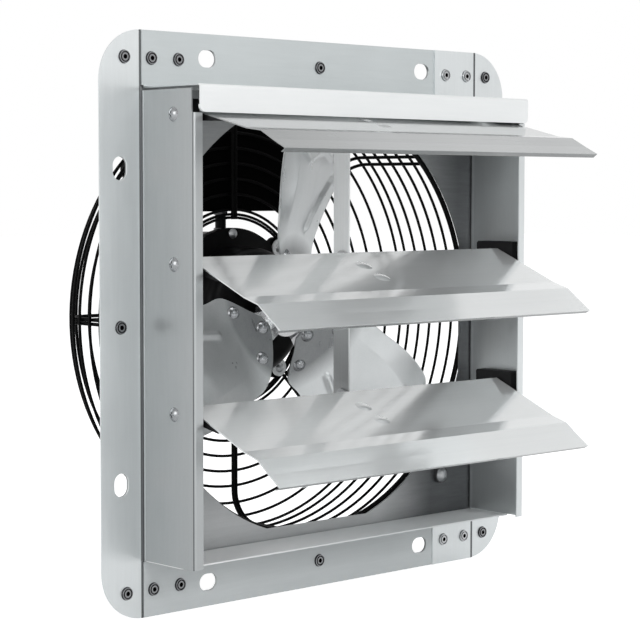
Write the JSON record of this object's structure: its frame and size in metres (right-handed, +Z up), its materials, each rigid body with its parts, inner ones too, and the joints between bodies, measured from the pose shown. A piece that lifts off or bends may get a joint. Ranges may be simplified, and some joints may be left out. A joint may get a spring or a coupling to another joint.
{
  "type": "shutter exhaust fan",
  "caption": "Square wall-mounted exhaust fan with linked gravity louvre slats in front and a wire-guarded axial fan, motor and junction box behind",
  "frame": {"origin": "middle of the square mounting flange, on its front face", "axes": "+Z up, -Y the way the air leaves through the slats, +Y into the wall towards the motor, +X to the right seen from the front; the fan turns about Y and the slats turn about X"},
  "size_m": [0.4, 0.2794, 0.4],
  "materials": {
    "frame_sheet": "satin mill finish",
    "visor_sheet": "satin mill finish",
    "panel_sheet": "satin",
    "slat_sheet": "bright mill finish",
    "blade_sheet": "bright mill finish",
    "rivet": "polished",
    "bracket": "zinc plated",
    "zinc": "zinc plated",
    "dark_fastener": "dull",
    "bearing_plastic": "moulded",
    "black_wire": "semi-gloss black",
    "black_shell": "semi-gloss black",
    "black_box": "fine texture",
    "core_steel": "laminated",
    "copper": "enamelled copper wire",
    "shaft_steel": "ground",
    "capacitor_case": "smooth",
    "terminal_plastic": "moulded"
  },
  "bodies": {
    "frame": {"left_rail": "frame_sheet", "right_rail": "frame_sheet", "top_rail": "visor_sheet", "bottom_rail": "frame_sheet", "fan_panel": "panel_sheet", "frame_rivets": "rivet", "slat_bearings": "bearing_plastic", "pivot_screws": "rivet", "guard_front_ring": "black_wire", "guard_side_rings": "black_wire", "guard_rear_rings": "black_wire", "guard_spokes": "black_wire", "guard_bolts": "zinc", "guard_spacers": "dark_fastener", "guard_washers": "zinc", "guard_nuts": "zinc", "motor_front_shell": "black_shell", "motor_rear_shell": "black_shell", "motor_shell_bolts": "zinc", "motor_mount_bolts": "zinc", "motor_mount_washers": "zinc", "motor_mount_nuts": "zinc", "stator_core": "core_steel", "stator_windings": "copper", "motor_bearings": "shaft_steel", "junction_box": "black_box", "junction_lid": "black_box", "lid_screws": "zinc", "conduit_nipple": "black_shell", "conduit_nuts": "dark_fastener", "run_capacitor": "capacitor_case", "terminal_block": "terminal_plastic"},
    "slat_top": {"slat_top": "slat_sheet", "slat_top_pivots": "bearing_plastic", "slat_top_bracket": "bracket", "slat_top_rivets": "rivet"},
    "slat_middle": {"slat_middle": "slat_sheet", "slat_middle_pivots": "bearing_plastic", "slat_middle_bracket": "bracket", "slat_middle_rivets": "rivet"},
    "slat_bottom": {"slat_bottom": "slat_sheet", "slat_bottom_pivots": "bearing_plastic", "slat_bottom_bracket": "bracket", "slat_bottom_rivets": "rivet"},
    "tie_bar": {"tie_bar": "slat_sheet"},
    "fan": {"rotor_core": "core_steel", "motor_shaft": "shaft_steel", "hub_spider": "zinc", "hub_boss": "zinc", "hub_set_screw": "dark_fastener", "blade_1": "blade_sheet", "blade_2": "blade_sheet", "blade_3": "blade_sheet", "blade_rivets": "rivet"}
  },
  "joints": [
    {"name": "middle_slat_hinge", "type": "hinge", "parent": "frame", "child": "slat_middle", "pos_m": [0, -0.0345, 0.0431], "axis": [1, 0, 0], "range_deg": [0, 60.5]},
    {"name": "top_slat_hinge", "type": "hinge", "parent": "frame", "child": "slat_top", "pos_m": [0, -0.0345, 0.1425], "axis": [1, 0, 0], "range_deg": [0, 70]},
    {"name": "bottom_slat_hinge", "type": "hinge", "parent": "frame", "child": "slat_bottom", "pos_m": [0, -0.0345, -0.0572], "axis": [1, 0, 0], "range_deg": [0, 60]},
    {"name": "tie_bar_hinge", "type": "hinge", "parent": "slat_middle", "child": "tie_bar", "pos_m": [0, -0.0245, 0.04463], "axis": [1, 0, 0], "range_deg": [-60.5, 0]},
    {"name": "fan_spin", "type": "hinge", "parent": "frame", "child": "fan", "pos_m": [0, 0, 0], "axis": [0, 1, 0], "continuous": true}
  ],
  "couplings": [
    {"joint": "top_slat_hinge", "follows": "middle_slat_hinge", "ratio": 1.157},
    {"joint": "bottom_slat_hinge", "follows": "middle_slat_hinge", "ratio": 0.9917},
    {"joint": "tie_bar_hinge", "follows": "middle_slat_hinge", "ratio": -1}
  ]
}
